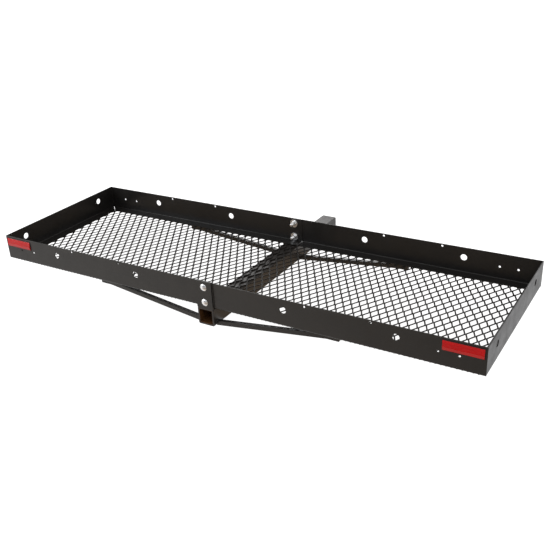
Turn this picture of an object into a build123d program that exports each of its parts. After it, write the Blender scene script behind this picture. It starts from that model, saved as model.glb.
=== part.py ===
"""Two-piece steel hitch cargo carrier, 60 in x 20 in deck, 2 in square shank.

Frame: +X right along the long side, +Y toward the vehicle, +Z up, millimetres.
Origin: centre of the hitch pin hole, on the axis of the square hitch tube.
Geometry is first laid out in deck coordinates (near wall outer face at Y=0,
underside of the deck flanges at Z=0, centre joint at X=0) and then moved.
"""
from build123d import *
import os

# ---------------------------------------------------------------- dimensions
LENGTH = 1524.0          # deck length over the end walls (60 in)
DEPTH = 495.3            # deck depth over the long walls (19 1/2 in, nominal 20 in)
WALL_H = 76.2            # wall height (3 in)
SHEET = 2.0              # rim sheet thickness (14 gauge)
FLANGE = 35.0            # inward bottom flange, measured from the wall outer face
FOLD_R = 4.0             # outer radius of the wall-to-flange fold
CORNER_SLIT = 2.0        # relief slit between the mitred flanges at a corner

HOLE_BIG = 19.05         # tie-down holes (3/4 in)
HOLE_SMALL = 6.6         # accessory holes (for M6 or 1/4 in)
BIG_X = (241.0, 546.0)   # tie-down holes on the long walls, distance from centre
BIG_Z = 46.0
TOP_X = (303.0, 482.0)   # small holes close to the top edge
TOP_Z = 70.0
LOW_X = (648.0, 699.0)   # small holes at half height near the ends
LOW_Z = 37.0
END_Y = (76.2, 419.1)    # tie-down holes in the end walls

MESH_T = 3.0             # expanded-metal thickness
MESH_SWD = 25.4          # short way of a diamond, along X
MESH_LWD = 42.0          # long way of a diamond, along Y
STRAND = 3.6             # strand width measured square to the strand
MESH_BORDER = 5.0        # plain sheared border

TUBE = 50.8              # shank outside size (2 in)
TUBE_WALL = 4.8          # 3/16 in
TUBE_R = 4.0             # outer corner radius of the square tube
TUBE_REACH = 237.0       # shank length past the far wall
PIN_D = 16.6             # hole for a 5/8 in hitch pin
PIN_FROM_END = 63.5      # pin hole centre from the shank end (2.5 in)

PLATE_T = 4.8            # upright plate at the near end of the tube
PLATE_OVER = 2.0         # plate height above the wall

BAR = 12.7               # square brace bar (1/2 in)
BAR_Y_LOW = 13.0         # bar axis from the wall outer face, at the tube
BAR_Y_TOP = 21.0         # bar axis from the wall outer face, under the rail
BAR_KNEE = 356.0         # where the sloping part meets the horizontal end
BAR_END = 391.0          # tip of the horizontal end
BAR_LOW = 47.4           # drop of the bar axis where it meets the tube

LAP = 25.4               # half length of the lap joint of the two trays
BOLT_Z = (15.1, 60.3)    # carriage bolt heights
BOLT_D = 9.5             # 3/8 in carriage bolt
BOLT_HEAD_D = 20.6
BOLT_HEAD_H = 4.8
BOLT_LEN = 25.4
NUT_AF = 14.3
NUT_H = 8.3
WASHER_D = 25.4
WASHER_T = 2.0

REFL_L = 100.0           # reflector length
REFL_H = 28.0
REFL_T = 4.0
REFL_BACK_T = 1.2
REFL_OUT = 757.0         # outer edge of the reflector from centre
REFL_TOP = 71.0

HALF = LENGTH / 2
TUBE_TOP = -MESH_T
TUBE_AXIS_Z = TUBE_TOP - TUBE / 2
TUBE_END_Y = DEPTH + TUBE_REACH
PIN_Y = TUBE_END_Y - PIN_FROM_END

os.makedirs("parts", exist_ok=True)


def save(shape, name):
    """Move a deck-coordinate shape to the pin-hole frame and write it."""
    moved = Pos(0, -PIN_Y, -TUBE_AXIS_Z) * shape
    export_step(moved, f"parts/{name}.step")
    b = moved.bounding_box()
    print(f"{name:26s} {b.min.X:8.1f} {b.max.X:8.1f} {b.min.Y:8.1f} {b.max.Y:8.1f} "
          f"{b.min.Z:8.1f} {b.max.Z:8.1f}  solids {len(moved.solids())}")


def box(x0, x1, y0, y1, z0, z1):
    """Axis-aligned box between two corners."""
    return Pos((x0 + x1) / 2, (y0 + y1) / 2, (z0 + z1) / 2) * Box(x1 - x0, y1 - y0, z1 - z0)


def prism_z(points, z0, z1):
    """Upright prism over an XY outline."""
    outline = make_face(Polyline(*[(px, py, z0) for px, py in points], close=True))
    return extrude(outline, z1 - z0, dir=(0, 0, 1))


def rail_profile():
    """L-section (wall and bottom flange) in the YZ plane, wall outer face at Y=0."""
    r, t, h, f = FOLD_R, SHEET, WALL_H, FLANGE
    ri = r - t
    k = 0.7071067811865476
    outline = (
        Line((0, 0, h), (0, 0, r))
        + ThreePointArc((0, 0, r), (0, r - r * k, r - r * k), (0, r, 0))
        + Line((0, r, 0), (0, f, 0))
        + Line((0, f, 0), (0, f, t))
        + Line((0, f, t), (0, r, t))
        + ThreePointArc((0, r, t), (0, r - ri * k, r - ri * k), (0, t, r))
        + Line((0, t, r), (0, t, h))
        + Line((0, t, h), (0, 0, h))
    )
    return make_face(outline)


def hole_y(x, z, d, y):
    """Cutter for a round hole through a long wall."""
    return Pos(x, y, z) * Rot(90, 0, 0) * Cylinder(d / 2, 30)


def hole_x(y, z, d, x):
    """Cutter for a round hole through an end wall."""
    return Pos(x, y, z) * Rot(0, 90, 0) * Cylinder(d / 2, 30)


def wall_holes(side, y):
    """All accessory and tie-down holes of one half of a long wall."""
    cuts = [hole_y(side * px, BIG_Z, HOLE_BIG, y) for px in BIG_X]
    cuts += [hole_y(side * px, TOP_Z, HOLE_SMALL, y) for px in TOP_X]
    cuts += [hole_y(side * px, LOW_Z, HOLE_SMALL, y) for px in LOW_X]
    return cuts


def mitre_cut(side):
    """Corner wedge taken off a long-wall flange so the end flange fits."""
    x_out = side * (HALF + 1)
    x_wall = side * (HALF - SHEET - CORNER_SLIT)
    x_in = side * (HALF - FLANGE - CORNER_SLIT)
    return prism_z([(x_wall, SHEET), (x_out, SHEET), (x_out, FLANGE + 1),
                    (x_in, FLANGE + 1), (x_in, FLANGE)], -1, FOLD_R)


def near_rail(side):
    """Near long rail of one half tray: wall, flange and its part of the lap joint."""
    start = LAP - 1.0
    if side < 0:
        body = extrude(Pos(-HALF, 0, 0) * rail_profile(), HALF + start, dir=(1, 0, 0))
    else:
        run = LAP + 2.0
        body = extrude(Pos(run, 0, 0) * rail_profile(), HALF - run, dir=(1, 0, 0))
        t = SHEET
        tab = prism_z([(run + 4, 0), (run, 0), (LAP + 1, t + 0.1), (-LAP, t + 0.1),
                       (-LAP, 2 * t + 0.1), (LAP + 2, 2 * t + 0.1), (run + 1, t), (run + 4, t)],
                      FOLD_R + 1.0, WALL_H)
        body = body + tab
    body = body - mitre_cut(side)
    for c in wall_holes(side, 0):
        body = body - c
    for z in BOLT_Z:
        body = body - box(-5.1, 5.1, -1, 6, z - 5.1, z + 5.1)
    return body


def far(shape):
    """Mirror a near-side shape to the far side of the deck."""
    return mirror(shape, Plane.XZ.offset(-DEPTH / 2))


def end_rail(side):
    """End rail of one half tray, fitted between the long walls."""
    prof = Rot(0, 0, -90) * rail_profile()          # wall along Y, flange toward +X
    body = extrude(Pos(-HALF, SHEET, 0) * prof, DEPTH - 2 * SHEET, dir=(0, 1, 0))
    for y0, sgn in ((0.0, 1), (DEPTH, -1)):
        wedge = prism_z([(-HALF + SHEET, y0 + sgn * (SHEET - 1)),
                         (-HALF + SHEET, y0 + sgn * SHEET),
                         (-HALF + FLANGE + 1, y0 + sgn * (FLANGE + 1)),
                         (-HALF + FLANGE + 1, y0 + sgn * (SHEET - 1))], -1, FOLD_R)
        body = body - wedge
    for y in END_Y:
        body = body - hole_x(y, BIG_Z, HOLE_BIG, -HALF)
    if side > 0:
        body = mirror(body, Plane.YZ)
    return body


def mesh_floor(side):
    """Expanded-metal floor of one half tray with every whole diamond cut out."""
    x0, x1 = 0.6, HALF - SHEET - FOLD_R
    y0, y1 = SHEET + FOLD_R, DEPTH - SHEET - FOLD_R
    hx, hy = MESH_SWD / 2, MESH_LWD / 2
    slant = (hx * hx + hy * hy) ** 0.5
    shrink = STRAND / 2 * slant / (hx * hy)         # strand width to diamond scale
    ox, oy = hx * (1 - shrink), hy * (1 - shrink)
    outer = Wire.make_polygon([(side * x0, y0), (side * x1, y0),
                               (side * x1, y1), (side * x0, y1)], close=True)
    inner = []
    yc = DEPTH / 2
    cols = int((x1 - x0) / hx) + 2
    rows = int(DEPTH / hy) + 2
    for i in range(cols):
        cx = x0 + MESH_BORDER + ox + i * hx
        if cx + ox > x1 - MESH_BORDER:
            break
        for j in range(-rows, rows + 1):
            if (i + j) % 2:
                continue
            cy = yc + j * hy
            if cy - oy < y0 + MESH_BORDER or cy + oy > y1 - MESH_BORDER:
                continue
            inner.append(Wire.make_polygon([(side * cx - ox, cy), (side * cx, cy - oy),
                                            (side * cx + ox, cy), (side * cx, cy + oy)],
                                           close=True))
    sheet = Pos(0, 0, -MESH_T) * Face(outer, inner)
    return Solid.extrude(sheet, Vector(0, 0, MESH_T))


def hitch_tube():
    """Square shank running under the deck, open at both ends, with the pin hole."""
    length = TUBE_END_Y + PLATE_T
    outer = Box(TUBE, length, TUBE)
    outer = fillet(outer.edges().filter_by(Axis.Y), TUBE_R)
    bore = Box(TUBE - 2 * TUBE_WALL, length + 2, TUBE - 2 * TUBE_WALL)
    bore = fillet(bore.edges().filter_by(Axis.Y), 1.5)
    tube = Pos(0, (TUBE_END_Y - PLATE_T) / 2, TUBE_AXIS_Z) * (outer - bore)
    return tube - Pos(0, PIN_Y, TUBE_AXIS_Z) * Rot(0, 90, 0) * Cylinder(PIN_D / 2, TUBE + 10)


def upright_plate():
    """Plate standing on the near end of the tube, bolted to the near wall."""
    top = WALL_H + PLATE_OVER
    body = box(-TUBE / 2, TUBE / 2, -PLATE_T, 0, TUBE_TOP, top)
    body = fillet(body.edges().filter_by(Axis.Y).group_by(Axis.Z)[-1], 2.0)
    for z in BOLT_Z:
        body = body - box(-5.1, 5.1, -PLATE_T - 1, 1, z - 5.1, z + 5.1)
    return body


def brace(side):
    """Square brace bar: low on the tube side, bent level where it meets the rail."""
    z_end = TUBE_TOP - BAR / 2
    stations = [(TUBE / 2, BAR_Y_LOW, -BAR_LOW), (BAR_KNEE, BAR_Y_TOP, z_end),
                (BAR_END, BAR_Y_TOP, z_end)]
    pieces = []
    for a, b in zip(stations, stations[1:]):
        ends = [Plane(origin=(side * px, py, pz), x_dir=(0, 1, 0), z_dir=(side, 0, 0))
                * Rectangle(BAR, BAR) for px, py, pz in (a, b)]
        pieces.append(loft(ends, ruled=True))
    return pieces[0] + pieces[1]


def carriage_bolt(z, y, sgn):
    """Domed carriage bolt with square neck, head toward sgn*-Y at wall face y."""
    sphere_r = (BOLT_HEAD_D ** 2 / 4 + BOLT_HEAD_H ** 2) / (2 * BOLT_HEAD_H)
    head = Pos(0, 0, BOLT_HEAD_H - sphere_r) * Sphere(sphere_r)
    head = head & Pos(0, 0, BOLT_HEAD_H / 2) * Box(BOLT_HEAD_D + 4, BOLT_HEAD_D + 4, BOLT_HEAD_H)
    neck = Pos(0, 0, -1.9) * Box(9.5, 9.5, 3.8)
    shank = Pos(0, 0, -BOLT_LEN / 2) * Cylinder(BOLT_D / 2 - 0.1, BOLT_LEN)
    bolt = head + neck + shank
    rot = Rot(90, 0, 0) if sgn > 0 else Rot(-90, 0, 0)
    return Pos(0, y, z) * rot * bolt


def washer(z, y):
    """Flat washer lying against a wall, centred at depth y."""
    ring = Cylinder(WASHER_D / 2, WASHER_T) - Cylinder(BOLT_D / 2 + 0.3, WASHER_T + 2)
    return Pos(0, y, z) * Rot(90, 0, 0) * ring


def hex_nut(z, y, turn):
    """Hexagon nut with chamfered corners, centred at depth y."""
    body = extrude(RegularPolygon(NUT_AF / 2, 6, major_radius=False), NUT_H / 2, both=True)
    cone = Pos(0, 0, 0) * Cylinder(NUT_AF / 2 * 1.09, NUT_H)
    body = body & cone
    body = body - Cylinder(BOLT_D / 2, NUT_H + 2)
    return Pos(0, y, z) * Rot(90, 0, 0) * Rot(0, 0, turn) * body


def group(shapes):
    """Several separate solids kept in one node."""
    solids = []
    for s in shapes:
        solids += s.solids()
    return Compound(children=solids)


def reflector(side, y0, y1, inset):
    """Rectangular reflector block on the near wall."""
    x_a, x_b = REFL_OUT - REFL_L + inset, REFL_OUT - inset
    xs = sorted((side * x_a, side * x_b))
    body = box(xs[0], xs[1], y0, y1, REFL_TOP - REFL_H + inset, REFL_TOP - inset)
    return body


# ---------------------------------------------------------------- rims
for name, side in (("left", -1), ("right", 1)):
    rail = near_rail(side)
    save(rail, f"{name}_near_rail")
    save(far(rail), f"{name}_far_rail")
    save(end_rail(side), f"{name}_end_rail")
    save(mesh_floor(side), f"{name}_mesh_floor")
    lens = reflector(side, -REFL_T, -REFL_BACK_T, 1.5)
    lens = chamfer(lens.faces().sort_by(Axis.Y)[0].edges(), 1.2)
    save(lens, f"{name}_reflector_lens")
    save(reflector(side, -REFL_BACK_T, 0, 0), f"{name}_reflector_base")
    bar = brace(side)
    save(bar, f"{name}_near_brace")
    save(far(bar), f"{name}_far_brace")

# ---------------------------------------------------------------- shank
save(hitch_tube(), "hitch_tube")
save(upright_plate(), "near_upright_plate")

# ---------------------------------------------------------------- fasteners
lap_in = 2 * SHEET + 0.1                            # inner face of the lap joint
near_heads = [carriage_bolt(z, -PLATE_T, 1) for z in BOLT_Z]
far_heads = [carriage_bolt(z, DEPTH, -1) for z in BOLT_Z]
near_w = [washer(z, lap_in + WASHER_T / 2) for z in BOLT_Z]
far_w = [washer(z, DEPTH - lap_in - WASHER_T / 2) for z in BOLT_Z]
near_n = [hex_nut(z, lap_in + WASHER_T + NUT_H / 2, a) for z, a in zip(BOLT_Z, (12, -20))]
far_n = [hex_nut(z, DEPTH - lap_in - WASHER_T - NUT_H / 2, a) for z, a in zip(BOLT_Z, (25, 5))]
save(group(near_heads), "near_carriage_bolts")
save(group(far_heads), "far_carriage_bolts")
save(group(near_w), "near_washers")
save(group(far_w), "far_washers")
save(group(near_n), "near_nuts")
save(group(far_n), "far_nuts")
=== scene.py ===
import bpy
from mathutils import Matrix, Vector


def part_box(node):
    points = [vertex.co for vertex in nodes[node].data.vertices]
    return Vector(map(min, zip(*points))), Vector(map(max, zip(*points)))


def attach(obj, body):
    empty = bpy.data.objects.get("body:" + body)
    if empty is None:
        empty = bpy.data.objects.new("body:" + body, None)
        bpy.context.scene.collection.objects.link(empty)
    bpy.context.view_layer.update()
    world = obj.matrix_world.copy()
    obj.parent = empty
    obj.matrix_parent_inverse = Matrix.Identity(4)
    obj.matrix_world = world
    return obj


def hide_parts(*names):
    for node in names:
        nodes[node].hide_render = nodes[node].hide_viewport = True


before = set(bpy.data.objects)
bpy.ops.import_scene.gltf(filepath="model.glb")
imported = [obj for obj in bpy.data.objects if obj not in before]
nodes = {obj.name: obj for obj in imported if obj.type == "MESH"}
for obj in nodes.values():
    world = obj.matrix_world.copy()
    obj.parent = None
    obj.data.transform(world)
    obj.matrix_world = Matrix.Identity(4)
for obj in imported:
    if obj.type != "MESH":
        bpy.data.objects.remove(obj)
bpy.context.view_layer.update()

import bpy
import bmesh
import math
from mathutils import Matrix, Vector

scene = bpy.context.scene
MM = 0.001
coll = scene.collection

# ------------------------------------------------------------------ camera
cam_data = bpy.data.cameras.new("camera")
cam = bpy.data.objects.new("camera", cam_data)
coll.objects.link(cam)
cam.matrix_world = Matrix((
    (0.853749, -0.191439, 0.484215, 1.12813),
    (0.518099, 0.404900, -0.753412, -2.12860),
    (-0.051826, 0.894096, 0.444867, 0.99963),
    (0.0, 0.0, 0.0, 1.0)))
cam_data.sensor_width = 36.0
cam_data.lens = 50.286
cam_data.shift_x = 0.0200
cam_data.shift_y = 0.0164
cam_data.clip_start, cam_data.clip_end = 0.05, 200.0
scene.camera = cam


# --------------------------------------------------------------- materials
def new_mat(name):
    m = bpy.data.materials.new(name)
    m.use_nodes = True
    nt = m.node_tree
    nt.nodes.clear()
    out = nt.nodes.new("ShaderNodeOutputMaterial")
    b = nt.nodes.new("ShaderNodeBsdfPrincipled")
    nt.links.new(b.outputs["BSDF"], out.inputs["Surface"])
    return m, nt, b


def coords(nt, scale=(1, 1, 1)):
    tc = nt.nodes.new("ShaderNodeTexCoord")
    mp = nt.nodes.new("ShaderNodeMapping")
    mp.inputs["Scale"].default_value = scale
    nt.links.new(tc.outputs["Object"], mp.inputs["Vector"])
    return mp.outputs["Vector"]


def noise(nt, vec, scale, detail=3.0, rough=0.55, dist=0.0):
    n = nt.nodes.new("ShaderNodeTexNoise")
    n.inputs["Scale"].default_value = scale
    n.inputs["Detail"].default_value = detail
    n.inputs["Roughness"].default_value = rough
    n.inputs["Distortion"].default_value = dist
    nt.links.new(vec, n.inputs["Vector"])
    return n.outputs["Fac"]


def ramp(nt, fac, stops):
    r = nt.nodes.new("ShaderNodeValToRGB")
    els = r.color_ramp.elements
    els[0].position, els[0].color = stops[0][0], tuple(stops[0][1]) + (1,)
    els[1].position, els[1].color = stops[-1][0], tuple(stops[-1][1]) + (1,)
    for pos, col in stops[1:-1]:
        e = els.new(pos)
        e.color = tuple(col) + (1,)
    nt.links.new(fac, r.inputs["Fac"])
    return r.outputs["Color"]


def maprange(nt, fac, a, b, c, d):
    r = nt.nodes.new("ShaderNodeMapRange")
    r.inputs["From Min"].default_value = a
    r.inputs["From Max"].default_value = b
    r.inputs["To Min"].default_value = c
    r.inputs["To Max"].default_value = d
    nt.links.new(fac, r.inputs["Value"])
    return r.outputs["Result"]


def bump(nt, height, strength, distance, normal=None):
    bn = nt.nodes.new("ShaderNodeBump")
    bn.inputs["Strength"].default_value = strength
    bn.inputs["Distance"].default_value = distance
    nt.links.new(height, bn.inputs["Height"])
    if normal is not None:
        nt.links.new(normal, bn.inputs["Normal"])
    return bn.outputs["Normal"]


def mix_rgb(nt, fac, a, b):
    mx = nt.nodes.new("ShaderNodeMix")
    mx.data_type = "RGBA"
    for sock, val in ((mx.inputs[6], a), (mx.inputs[7], b)):
        if isinstance(val, tuple):
            sock.default_value = val + (1,)
        else:
            nt.links.new(val, sock)
    if isinstance(fac, float):
        mx.inputs[0].default_value = fac
    else:
        nt.links.new(fac, mx.inputs[0])
    return mx.outputs[2]


def powder_coat(name, dark, light, rough=0.40, grain=1.0, wear=0.0, spec=0.5):
    """Black powder coat: fine orange peel, uneven sheen, faint dust and scuffs."""
    m, nt, b = new_mat(name)
    vec = coords(nt)
    broad = noise(nt, vec, 9.0, 4.0, 0.6)
    col = ramp(nt, broad, [(0.30, dark), (0.72, light)])
    dust = noise(nt, vec, 260.0, 5.0, 0.7)
    dust_fac = maprange(nt, dust, 0.60, 0.80, 0.0, 0.22 + 0.3 * wear)
    col = mix_rgb(nt, dust_fac, col, (0.060, 0.055, 0.050))
    # long faint rub marks from handling
    rub_vec = coords(nt, (6.0, 6.0, 120.0))
    rub = noise(nt, rub_vec, 3.2, 6.0, 0.65, 0.4)
    rub_fac = maprange(nt, rub, 0.62, 0.78, 0.0, 0.20 + 0.35 * wear)
    col = mix_rgb(nt, rub_fac, col, (0.050, 0.047, 0.044))
    nt.links.new(col, b.inputs["Base Color"])
    ro = noise(nt, vec, 26.0, 5.0, 0.6)
    nt.links.new(maprange(nt, ro, 0.25, 0.75, rough - 0.07, rough + 0.09), b.inputs["Roughness"])
    peel = noise(nt, vec, 620.0, 2.0, 0.5)
    wave = noise(nt, vec, 30.0, 2.0, 0.5)
    n1 = bump(nt, wave, 0.10, 0.0016)
    n2 = bump(nt, peel, 0.22 * grain, 0.00035, n1)
    nt.links.new(n2, b.inputs["Normal"])
    b.inputs["IOR"].default_value = 1.5
    b.inputs["Specular IOR Level"].default_value = spec
    return m


def tube_coat_with_painted_light(name, half):
    """Powder coat outside, its colour painted lighter and warmer than the black coat elsewhere as painted light on
    the tube; inside the tube the coat thins out to brown mill scale.
    """
    m, nt, b = new_mat(name)
    vec = coords(nt)
    sx = nt.nodes.new("ShaderNodeSeparateXYZ")
    nt.links.new(vec, sx.inputs["Vector"])

    def ab(sock):
        n = nt.nodes.new("ShaderNodeMath")
        n.operation = "ABSOLUTE"
        nt.links.new(sock, n.inputs[0])
        return n.outputs[0]

    mx = nt.nodes.new("ShaderNodeMath")
    mx.operation = "MAXIMUM"
    nt.links.new(ab(sx.outputs["X"]), mx.inputs[0])
    nt.links.new(ab(sx.outputs["Z"]), mx.inputs[1])
    inside = maprange(nt, mx.outputs[0], half - 0.0044, half - 0.0038, 1.0, 0.0)
    scale = noise(nt, vec, 45.0, 6.0, 0.68, 0.6)
    rust = ramp(nt, scale, [(0.30, (0.030, 0.016, 0.008)), (0.55, (0.095, 0.042, 0.014)),
                            (0.75, (0.20, 0.085, 0.026))])
    broad = noise(nt, vec, 9.0, 4.0, 0.6)
    # painted light: the outer coat colour is lifted lighter and warmer than the black coat on the rails, standing in
    # for light falling on the tube
    out = ramp(nt, broad, [(0.30, (0.0170, 0.0142, 0.0122)), (0.72, (0.0250, 0.0212, 0.0186))])
    rub_vec = coords(nt, (120.0, 6.0, 120.0))
    rub = noise(nt, rub_vec, 3.2, 6.0, 0.65, 0.4)
    out = mix_rgb(nt, maprange(nt, rub, 0.60, 0.76, 0.0, 0.35), out, (0.050, 0.047, 0.044))
    nt.links.new(mix_rgb(nt, inside, out, rust), b.inputs["Base Color"])
    ro = noise(nt, vec, 26.0, 5.0, 0.6)
    nt.links.new(maprange(nt, ro, 0.25, 0.75, 0.31, 0.46), b.inputs["Roughness"])
    peel = noise(nt, vec, 620.0, 2.0, 0.5)
    nt.links.new(bump(nt, peel, 0.22, 0.00035), b.inputs["Normal"])
    b.inputs["IOR"].default_value = 1.5
    return m


def zinc_plate(name, tint=(0.92, 0.925, 0.93)):
    """Bright zinc plate with slight yellow-blue clouding and fine tool grain."""
    m, nt, b = new_mat(name)
    vec = coords(nt)
    cloud = noise(nt, vec, 170.0, 4.0, 0.6, 0.6)
    col = ramp(nt, cloud, [(0.28, (tint[0] * 0.86, tint[1] * 0.88, tint[2] * 0.94)),
                           (0.52, tint),
                           (0.75, (tint[0], tint[1] * 0.96, tint[2] * 0.86))])
    nt.links.new(col, b.inputs["Base Color"])
    b.inputs["Metallic"].default_value = 1.0
    ro = noise(nt, vec, 520.0, 4.0, 0.6)
    nt.links.new(maprange(nt, ro, 0.3, 0.7, 0.20, 0.36), b.inputs["Roughness"])
    fine = noise(nt, vec, 1500.0, 3.0, 0.6)
    nt.links.new(bump(nt, fine, 0.25, 0.0001), b.inputs["Normal"])
    return m


def red_lens(name):
    """Moulded red reflector: clear glossy skin over small prismatic cells."""
    m, nt, b = new_mat(name)
    vec = coords(nt)
    vo = nt.nodes.new("ShaderNodeTexVoronoi")
    vo.distance = "CHEBYCHEV"
    vo.inputs["Scale"].default_value = 430.0
    vo.inputs["Randomness"].default_value = 0.0
    nt.links.new(vec, vo.inputs["Vector"])
    cells = vo.outputs["Distance"]
    tint = noise(nt, vec, 60.0, 2.0, 0.5)
    deep = ramp(nt, tint, [(0.3, (0.46, 0.0010, 0.0018)), (0.7, (0.56, 0.0018, 0.0030))])
    light = mix_rgb(nt, maprange(nt, cells, 0.20, 0.50, 0.0, 0.55), deep, (0.72, 0.005, 0.008))
    nt.links.new(light, b.inputs["Base Color"])
    nt.links.new(maprange(nt, noise(nt, vec, 90.0), 0.3, 0.7, 0.10, 0.18), b.inputs["Roughness"])
    b.inputs["Specular IOR Level"].default_value = 0.35
    b.inputs["Coat Weight"].default_value = 0.12
    b.inputs["Coat Roughness"].default_value = 0.05
    b.inputs["IOR"].default_value = 1.49
    nt.links.new(bump(nt, cells, 0.16, 0.0004), b.inputs["Normal"])
    return m


def dark_red_plastic(name):
    m, nt, b = new_mat(name)
    vec = coords(nt)
    col = ramp(nt, noise(nt, vec, 120.0, 4.0), [(0.3, (0.030, 0.004, 0.005)), (0.7, (0.055, 0.008, 0.009))])
    nt.links.new(col, b.inputs["Base Color"])
    nt.links.new(maprange(nt, noise(nt, vec, 300.0), 0.3, 0.7, 0.40, 0.55), b.inputs["Roughness"])
    nt.links.new(bump(nt, noise(nt, vec, 900.0), 0.2, 0.0001), b.inputs["Normal"])
    return m


COAT = powder_coat("black_powder_coat", (0.0090, 0.0082, 0.0078), (0.0140, 0.0128, 0.0120), 0.36)
COAT_EDGE = powder_coat("powder_coat_edges", (0.020, 0.018, 0.017), (0.036, 0.032, 0.030), 0.42, 0.7, 0.6)
COAT_MESH = powder_coat("black_coat_mesh", (0.0085, 0.0074, 0.0066), (0.0150, 0.0125, 0.0105), 0.50, 1.2, 0.12, 0.30)
COAT_WELD = powder_coat("powder_coat_weld", (0.010, 0.009, 0.0085), (0.020, 0.018, 0.016), 0.38, 1.4, 0.2)
# the tube gets a copy of the black coat painted lighter and warmer, as painted light
COAT_TUBE_PAINTED_LIGHT = tube_coat_with_painted_light("powder_coat_tube_painted_light", 0.0254)
ZINC = zinc_plate("zinc_plate")
RED = red_lens("red_reflector_lens")
REDBACK = dark_red_plastic("reflector_moulding")


def add_piece(name, mesh, mat, replaces=()):
    o = bpy.data.objects.new(name, mesh)
    coll.objects.link(o)
    mesh.materials.append(mat)
    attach(o, "root")
    if replaces:
        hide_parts(*replaces)
    return o


def mesh_from(name, verts, faces, smooth=False):
    me = bpy.data.meshes.new(name)
    me.from_pydata(verts, [], faces)
    me.update()
    bm = bmesh.new()
    bm.from_mesh(me)
    bmesh.ops.recalc_face_normals(bm, faces=bm.faces)
    bm.to_mesh(me)
    bm.free()
    if smooth:
        for p in me.polygons:
            p.use_smooth = True
    return me


# ---------------------------------------------------- CAD nodes that stay
def dress(node, mats, bevel=0.0, segments=2):
    o = nodes[node]
    o.data.materials.clear()
    for m in mats:
        o.data.materials.append(m)
    for p in o.data.polygons:
        p.material_index = 0
    if bevel:
        w = o.modifiers.new("weld", "WELD")
        w.merge_threshold = 1e-6
        bv = o.modifiers.new("edge", "BEVEL")
        bv.width = bevel
        bv.segments = segments
        bv.limit_method = "ANGLE"
        bv.angle_limit = math.radians(38)
        bv.use_clamp_overlap = True
        bv.material = len(mats) - 1
        bv.harden_normals = False
        tidy = o.modifiers.new("tidy", "WELD")
        tidy.merge_threshold = 2e-5
    return o


RIMS = [f"{s}_{k}" for s in ("left", "right") for k in ("near_rail", "far_rail", "end_rail")]
BARS = [f"{s}_{k}" for s in ("left", "right") for k in ("near_brace", "far_brace")]
for n in RIMS:
    dress(n, [COAT, COAT_EDGE], 0.0 if n.endswith("end_rail") else 0.0004)
for n in BARS:
    dress(n, [COAT, COAT_EDGE], 0.0009, 3)
dress("hitch_tube", [COAT_TUBE_PAINTED_LIGHT, COAT_EDGE], 0.0004)
dress("near_upright_plate", [COAT, COAT_EDGE], 0.0012, 3)
for n in ("near_washers", "far_washers", "near_nuts", "far_nuts"):
    dress(n, [ZINC], 0.00025)
for s in ("left", "right"):
    dress(f"{s}_reflector_base", [REDBACK], 0.0003)


# --------------------------------------------------- expanded-metal floors
def expanded_floor(side):
    """Slit and stretched sheet: zigzag strands along Y, tilted, joined at the bonds."""
    name = "left" if side < 0 else "right"
    lo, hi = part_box(f"{name}_mesh_floor")
    hx, hy = 0.0127, 0.0210
    w, t = 0.0044, 0.0026
    tilt = math.radians(15.0)
    bond = 0.0034
    zc = (lo[2] + hi[2]) / 2
    inner = (hi[0] if side < 0 else lo[0])
    yc = (lo[1] + hi[1]) / 2
    cu, su = math.cos(tilt), math.sin(tilt)
    c = 0.00028
    ring = [(-w / 2 + c, -t / 2), (w / 2 - c, -t / 2), (w / 2, -t / 2 + c), (w / 2, t / 2 - c),
            (w / 2 - c, t / 2), (-w / 2 + c, t / 2), (-w / 2, t / 2 - c), (-w / 2, -t / 2 + c)]
    verts, faces = [], []
    count = int((hi[0] - lo[0]) / hx)
    rows = int((hi[1] - lo[1]) / hy / 2) + 2
    half_w = w / 2 * cu
    for i in range(count):
        a = inner + side * (0.0006 + i * hx)          # bond line on the inner side
        left, right = (a, a + hx) if side > 0 else (a - hx, a)
        path = []
        for j in range(-rows, rows + 1):
            y = yc + j * hy
            at_left = (i + j) % 2 == 0
            x = left + half_w - 0.00004 if at_left else right - half_w + 0.00004
            z = zc + (w / 2 * su if at_left else -w / 2 * su)
            for f in (-0.5, 0.5):
                path.append((x, y + f * bond, z))
        # cut at the sheared edges
        cut = []
        for p, q in zip(path, path[1:]):
            for pt in (p, q):
                if lo[1] <= pt[1] <= hi[1] and (not cut or cut[-1] != pt):
                    cut.append(pt)
            for edge in (lo[1], hi[1]):
                if (p[1] - edge) * (q[1] - edge) < 0:
                    f = (edge - p[1]) / (q[1] - p[1])
                    pt = tuple(p[k] + f * (q[k] - p[k]) for k in range(3))
                    cut.append(pt)
        cut = sorted(set(cut), key=lambda v: v[1])
        base = len(verts)
        for (x, y, z) in cut:
            for (u, v) in ring:
                verts.append((x + u * cu - v * su, y, z + u * su + v * cu))
        m = len(cut)
        for k in range(m - 1):
            for e in range(8):
                f = (e + 1) % 8
                faces.append((base + k * 8 + e, base + k * 8 + f,
                              base + (k + 1) * 8 + f, base + (k + 1) * 8 + e))
        faces.append(tuple(base + e for e in range(8)))
        faces.append(tuple(base + (m - 1) * 8 + e for e in reversed(range(8))))
    me = mesh_from(f"{name}_expanded_metal", verts, faces)
    return add_piece(f"{name}_expanded_metal", me, COAT_MESH, (f"{name}_mesh_floor",))


for s in (-1, 1):
    expanded_floor(s)


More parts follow.
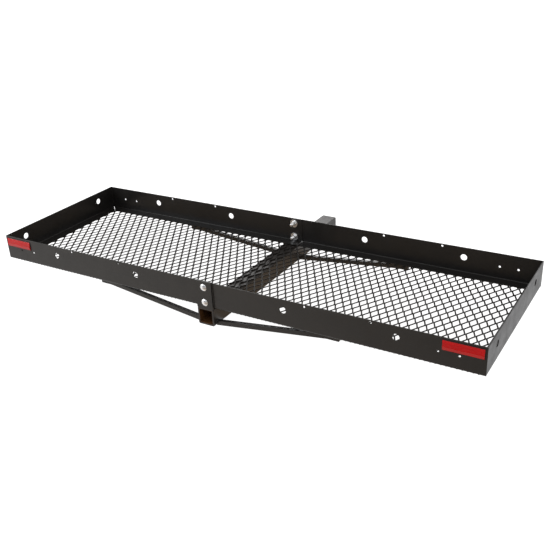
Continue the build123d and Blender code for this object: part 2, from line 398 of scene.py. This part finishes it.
# ---------------------------------------------------------- reflector lens
def lens(side):
    """Lens block: flat prismatic field with its ends set back and a long sloping lower facet."""
    name = "left" if side < 0 else "right"
    lo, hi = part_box(f"{name}_reflector_lens")
    x0, x1, y0, y1, z0, z1 = lo[0], hi[0], lo[1], hi[1], lo[2], hi[2]
    d = y1 - y0
    h = z1 - z0
    # section in YZ, front is low Y
    # upper field leans back, the lower band slopes under, with fine ribs between
    ridge = z0 + 0.36 * h
    sec = [(y1, z1), (y0 + 0.90 * d, z1 - 0.0003)]
    ribs = 7
    for i in range(ribs):
        za = (z1 - 0.0012) + (ridge - z1 + 0.0012) * i / ribs
        zb = (z1 - 0.0012) + (ridge - z1 + 0.0012) * (i + 1) / ribs
        ya = y0 + 0.84 * d * (1 - i / ribs)
        yb = y0 + 0.84 * d * (1 - (i + 1) / ribs)
        sec.append((ya, za))
        sec.append((yb - 0.00012 if i < ribs - 1 else y0, zb + (zb - za) * -0.10))
    sec += [(y0 + 0.02 * d, ridge - 0.0005), (y0 + 0.55 * d, z0 + 0.0008), (y1, z0)]
    xs = [x0, x0 + 0.0008, x0 + 0.0026, x1 - 0.0026, x1 - 0.0008, x1]
    verts, faces = [], []
    for i, x in enumerate(xs):
        pull = 0.45 * d if i in (0, 5) else 0.0
        for (y, z) in sec:
            verts.append((x, min(y + pull, y1), z))
    n = len(sec)
    for i in range(len(xs) - 1):
        for k in range(n):
            faces.append((i * n + k, i * n + (k + 1) % n, (i + 1) * n + (k + 1) % n, (i + 1) * n + k))
    faces.append(tuple(range(n)))
    faces.append(tuple((len(xs) - 1) * n + k for k in reversed(range(n))))
    me = mesh_from(f"{name}_lens", verts, faces)
    return add_piece(f"{name}_lens", me, RED, (f"{name}_reflector_lens",))


for s in (-1, 1):
    lens(s)


# ----------------------------------------------------------- threaded bolts
def bolt_mesh(name, centres, face_y, sgn, length, head_d, head_h, d):
    """Domed carriage bolts with square neck and rolled thread, head toward -sgn*Y."""
    verts, faces = [], []

    def lathe(cx, cz, prof, seg):
        base = len(verts)
        for (r, y) in prof:
            for k in range(seg):
                a = 2 * math.pi * k / seg
                verts.append((cx + r * math.cos(a), y, cz + r * math.sin(a)))
        for i in range(len(prof) - 1):
            for k in range(seg):
                q = (k + 1) % seg
                faces.append((base + i * seg + k, base + i * seg + q,
                              base + (i + 1) * seg + q, base + (i + 1) * seg + k))
        faces.append(tuple(base + k for k in range(seg)))
        faces.append(tuple(base + (len(prof) - 1) * seg + k for k in reversed(range(seg))))

    rs = (head_d ** 2 / 4 + head_h ** 2) / (2 * head_h)
    for (cx, cz) in centres:
        prof = []
        for i in range(13):
            r = head_d / 2 * math.sin(math.pi / 2 * i / 12)
            y = rs - math.sqrt(max(rs * rs - r * r, 0))
            prof.append((max(r, 0.0002), face_y - sgn * (head_h - y)))
        prof[-1] = (head_d / 2 - 0.0002, prof[-1][1] - sgn * 0.0002)
        prof.append((head_d / 2, face_y - sgn * 0.00045))
        prof.append((head_d / 2, face_y - sgn * 0.0002))
        prof.append((head_d / 2 - 0.0002, face_y))
        prof.append((d / 2, face_y))
        lathe(cx, cz, prof, 48)
        # square neck
        b = len(verts)
        k = 0.00475
        for y in (face_y - sgn * 0.0001, face_y + sgn * 0.0038):
            for (u, v) in ((-k, -k), (k, -k), (k, k), (-k, k)):
                verts.append((cx + u, y, cz + v))
        faces.extend([(b, b + 1, b + 2, b + 3), (b + 7, b + 6, b + 5, b + 4)])
        for e in range(4):
            f = (e + 1) % 4
            faces.append((b + e, b + f, b + 4 + f, b + 4 + e))
        # thread: helical ridge on the shank
        pitch, depth, seg = 0.00159, 0.00075, 32
        y_from, y_to = 0.0036, length
        steps = int((y_to - y_from) / (pitch / 6))
        b = len(verts)
        for i in range(steps + 1):
            yy = y_from + (y_to - y_from) * i / steps
            for k in range(seg):
                a = 2 * math.pi * k / seg
                ph = ((yy / pitch) - k / seg) % 1.0
                tri = abs(2 * ph - 1)
                tip = min(1.0, (y_to - yy) / 0.0012)
                r = d / 2 - depth * (1 - tri) - 0.0011 * (1 - tip)
                verts.append((cx + r * math.cos(a), face_y + sgn * yy, cz + r * math.sin(a)))
        for i in range(steps):
            for k in range(seg):
                q = (k + 1) % seg
                faces.append((b + i * seg + k, b + i * seg + q,
                              b + (i + 1) * seg + q, b + (i + 1) * seg + k))
        faces.append(tuple(b + k for k in range(seg)))
        faces.append(tuple(b + steps * seg + k for k in reversed(range(seg))))
    me = mesh_from(name, verts, faces, smooth=True)
    return me


def bolts(node, sgn):
    lo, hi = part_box(node)
    head_d, head_h, length = hi[0] - lo[0], 0.0048, 0.0254
    face_y = lo[1] + head_h if sgn > 0 else hi[1] - head_h
    zs = (lo[2] + head_d / 2, hi[2] - head_d / 2)
    me = bolt_mesh(node + "_detailed", [(0.0, z) for z in zs], face_y, sgn, length - 0.0001, head_d, head_h, 0.0093)
    o = add_piece(node + "_detailed", me, ZINC, (node,))
    o.modifiers.new("split", "EDGE_SPLIT").split_angle = math.radians(40)
    return o


bolts("near_carriage_bolts", 1)
bolts("far_carriage_bolts", -1)


# --------------------------------------------------------------- weld beads
def bead(verts, faces, p0, p1, r, up, seed):
    """Rippled fillet weld from p0 to p1; up leans the bead out of the corner."""
    p0, p1, up = Vector(p0), Vector(p1), Vector(up).normalized()
    axis = (p1 - p0)
    length = axis.length
    axis.normalize()
    side = axis.cross(up).normalized()
    n = max(8, int(length / 0.0009))
    base = len(verts)
    seg = 10
    for i in range(n + 1):
        f = i / n
        s = f * length
        ph = (s / 0.0027 + 0.13 * math.sin(s * 900 + seed)) % 1.0
        rip = 0.80 + 0.20 * math.sqrt(max(0.0, 1 - (2 * ph - 1) ** 2))
        rr = r * rip * (1 + 0.07 * math.sin(s * 310 + seed * 1.7))
        end = min(1.0, min(f, 1 - f) * length / (r * 0.9))
        rr *= math.sqrt(max(0.05, 1 - (1 - end) ** 2))
        c = p0 + axis * s + side * (0.0002 * math.sin(s * 210 + seed))
        for k in range(seg):
            a = 2 * math.pi * k / seg
            verts.append(tuple(c + up * (rr * math.cos(a)) + side * (rr * math.sin(a))))
    for i in range(n):
        for k in range(seg):
            q = (k + 1) % seg
            faces.append((base + i * seg + k, base + i * seg + q,
                          base + (i + 1) * seg + q, base + (i + 1) * seg + k))
    faces.append(tuple(base + k for k in range(seg)))
    faces.append(tuple(base + n * seg + k for k in reversed(range(seg))))


def welds():
    tube_lo, tube_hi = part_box("hitch_tube")
    plate_lo, plate_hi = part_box("near_upright_plate")
    rail_lo, rail_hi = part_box("left_near_rail")
    far_lo, far_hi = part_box("left_far_rail")
    top = tube_hi[2]
    x = tube_hi[0]
    v, f = [], []
    # plate to tube, both sides of the foot
    for s in (-1, 1):
        bead(v, f, (s * (x - 0.0008), plate_lo[1] + 0.0010, top - 0.0008),
             (s * (x - 0.0008), plate_hi[1] + 0.010, top - 0.0008), 0.0021, (s, 0, 0.4), s * 1.3)
    # tube to the flanges, near and far
    for y0, y1 in ((rail_lo[1] + 0.010, rail_hi[1] - 0.002), (far_lo[1] + 0.002, far_hi[1] - 0.010)):
        for s in (-1, 1):
            bead(v, f, (s * (x - 0.0002), y0, top - 0.0010), (s * (x - 0.0002), y1, top - 0.0010),
                 0.0026, (s, 0, 0.8), y0 * 50 + s)
    # coat-filled seams where the upright plate's sides meet the near wall
    for s, r, dx in ((-1, 0.0017, 0.0004), (1, 0.0025, 0.0011)):
        bead(v, f, (s * (plate_hi[0] + dx), plate_hi[1] - 0.0002, top + 0.006),
             (s * (plate_hi[0] + dx), plate_hi[1] - 0.0002, rail_hi[2] - 0.0012), r, (s, -1, 0), s * 2.1)
    me = mesh_from("shank_welds", v, f, smooth=True)
    add_piece("shank_welds", me, COAT_WELD)
    v, f = [], []
    bar = 0.0127
    for n in BARS:
        lo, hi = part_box(n)
        s = -1 if n.startswith("left") else 1
        near = "near" in n
        y_low = (lo[1] + bar / 2) if near else (hi[1] - bar / 2)
        y_top = (hi[1] - bar / 2) if near else (lo[1] + bar / 2)
        z_low = lo[2] + bar / 2
        xt = s * x
        h = bar / 2
        for (a, b, up) in (((xt, y_low - h, z_low + h), (xt, y_low + h, z_low + h), (s, 0, 1)),
                           ((xt, y_low - h, z_low - h * 0.55), (xt, y_low - h, z_low + h), (s, -1, 0)),
                           ((xt, y_low + h, z_low - h * 0.55), (xt, y_low + h, z_low + h), (s, 1, 0))):
            bead(v, f, a, b, 0.0019, up, z_low * 77 + y_low * 13)
        # upper ends along the underside of the flange
        zt = hi[2]
        for sy in (-1, 1):
            bead(v, f, (s * 0.357, y_top + sy * h, zt - 0.0009), (s * 0.3935, y_top + sy * h, zt - 0.0009),
                 0.0018, (0, sy, -0.5), y_top * 31 + sy)
    me = mesh_from("brace_welds", v, f, smooth=True)
    add_piece("brace_welds", me, COAT_WELD)
    # corner welds between end walls and long walls, inside
    v, f = [], []
    for s, nm in ((-1, "left"), (1, "right")):
        lo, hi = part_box(f"{nm}_end_rail")
        xw = (lo[0] + 0.002) if s < 0 else (hi[0] - 0.002)
        for yw, sy in ((lo[1], 1), (hi[1], -1)):
            for z0, z1 in ((lo[2] + 0.008, lo[2] + 0.027), (hi[2] - 0.024, hi[2] - 0.004)):
                bead(v, f, (xw, yw, z0), (xw, yw, z1), 0.0016, (-s, sy, 0), s * 3 + sy + z0 * 40)
    me = mesh_from("corner_welds", v, f, smooth=True)
    add_piece("corner_welds", me, COAT_WELD)


welds()

# ------------------------------------------------------------ stage, lights
lo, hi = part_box("hitch_tube")
FLOOR_Z = lo[2]


def card(name, corners, mat, camera=False):
    me = bpy.data.meshes.new(name)
    me.from_pydata(corners, [], [(0, 1, 2, 3)])
    me.materials.append(mat)
    o = bpy.data.objects.new(name, me)
    coll.objects.link(o)
    o.visible_shadow = False
    if camera:
        o.visible_diffuse = o.visible_glossy = o.visible_transmission = False
    else:
        o.visible_camera = False
    return o


def plain(name, colour, emit, glow=(1, 1, 1)):
    m, nt, b = new_mat(name)
    b.inputs["Base Color"].default_value = tuple(colour) + (1,)
    b.inputs["Roughness"].default_value = 0.9
    b.inputs["Specular IOR Level"].default_value = 0.0
    b.inputs["Emission Color"].default_value = tuple(glow) + (1,)
    b.inputs["Emission Strength"].default_value = emit
    return m


S = 40.0
card("floor", [(-S, -S, FLOOR_Z), (S, -S, FLOOR_Z), (S, S, FLOOR_Z), (-S, S, FLOOR_Z)],
     plain("floor_pale", (0.5, 0.5, 0.5), 0.95), True)
# shaded patch of floor under the deck, and a dark flag in front of the rack
blo, bhi = [-0.80, -0.62, FLOOR_Z], [0.70, -0.12, FLOOR_Z]
card("under_shade", [(blo[0], blo[1], FLOOR_Z - 0.001), (bhi[0], blo[1], FLOOR_Z - 0.001),
                     (bhi[0], bhi[1], FLOOR_Z - 0.001), (blo[0], bhi[1], FLOOR_Z - 0.001)],
     plain("shade", (0.34, 0.24, 0.16), 0.38, (1.0, 0.80, 0.60)))
card("front_flag", [(-3.5, -3.9, 0.55), (4.5, -3.9, 0.55), (4.5, -3.7, 1.75), (-3.5, -3.7, 1.75)],
     plain("flag", (0.02, 0.02, 0.02), 0.0))

world = bpy.data.worlds.new("world")
scene.world = world
world.use_nodes = True
wt = world.node_tree
bg = wt.nodes["Background"]
tc = wt.nodes.new("ShaderNodeTexCoord")
sep = wt.nodes.new("ShaderNodeSeparateXYZ")
wt.links.new(tc.outputs["Generated"], sep.inputs["Vector"])


def wmath(op, a, b, c=None):
    n = wt.nodes.new("ShaderNodeMath")
    n.operation = op
    for k, v in enumerate((a, b, c)):
        if v is None:
            continue
        if isinstance(v, (int, float)):
            n.inputs[k].default_value = v
        else:
            wt.links.new(v, n.inputs[k])
    return n.outputs[0]


# below the horizon: bright behind and to the left, dimmer and warmer in front on the right
q = wmath("ADD", wmath("MULTIPLY", sep.outputs["X"], -0.6), wmath("MULTIPLY", sep.outputs["Y"], 0.8))
rp = wt.nodes.new("ShaderNodeValToRGB")
els = rp.color_ramp.elements
els[0].position, els[0].color = 0.20, (0.30, 0.255, 0.215, 1)
els[1].position, els[1].color = 0.75, (0.95, 0.95, 0.96, 1)
for pos, col in ((0.31, (0.66, 0.57, 0.49)), (0.40, (1.02, 0.92, 0.82)), (0.48, (1.02, 1.00, 0.98))):
    e = els.new(pos)
    e.color = col + (1,)
wt.links.new(wmath("ADD", wmath("MULTIPLY", q, 0.5), 0.5), rp.inputs["Fac"])
up = wt.nodes.new("ShaderNodeMapRange")
up.inputs["From Min"].default_value = -0.10
up.inputs["From Max"].default_value = 0.05
wt.links.new(sep.outputs["Z"], up.inputs["Value"])
mx = wt.nodes.new("ShaderNodeMix")
mx.data_type = "RGBA"
wt.links.new(up.outputs["Result"], mx.inputs[0])
wt.links.new(rp.outputs["Color"], mx.inputs[6])
upper = wt.nodes.new("ShaderNodeValToRGB")
ue = upper.color_ramp.elements
ue[0].position, ue[0].color = 0.22, (0.92, 0.92, 0.93, 1)
ue[1].position, ue[1].color = 0.62, (0.42, 0.40, 0.38, 1)
wt.links.new(sep.outputs["Z"], upper.inputs["Fac"])
front = wt.nodes.new("ShaderNodeMapRange")
front.inputs["From Min"].default_value = 0.15
front.inputs["From Max"].default_value = -0.35
wt.links.new(sep.outputs["Y"], front.inputs["Value"])
both = wt.nodes.new("ShaderNodeMix")
both.data_type = "RGBA"
wt.links.new(front.outputs["Result"], both.inputs[0])
wt.links.new(upper.outputs["Color"], both.inputs[6])
both.inputs[7].default_value = (0.96, 0.96, 0.97, 1)
wt.links.new(both.outputs[2], mx.inputs[7])
wt.links.new(mx.outputs[2], bg.inputs["Color"])
bg.inputs["Strength"].default_value = 1.0


def area(name, loc, target, size, power, color=(1, 1, 1)):
    d = bpy.data.lights.new(name, "AREA")
    d.shape = "RECTANGLE"
    d.size, d.size_y = size
    d.energy = power
    d.color = color
    o = bpy.data.objects.new(name, d)
    coll.objects.link(o)
    o.location = loc
    o.rotation_mode = "QUATERNION"
    o.rotation_quaternion = (Vector(target) - Vector(loc)).to_track_quat("-Z", "Y")
    return o


area("key", (-1.9, -1.9, 1.2), (-0.3, -0.5, 0), (1.2, 0.9), 15, (0.92, 0.96, 1.0))
area("back", (-1.3, 2.7, 1.15), (0.0, 0.0, 0.02), (2.8, 0.7), 19, (1.0, 1.0, 1.0))

scene.view_settings.view_transform = "Standard"
scene.view_settings.look = "None"
scene.view_settings.exposure = 0.0
scene.view_settings.gamma = 1.0
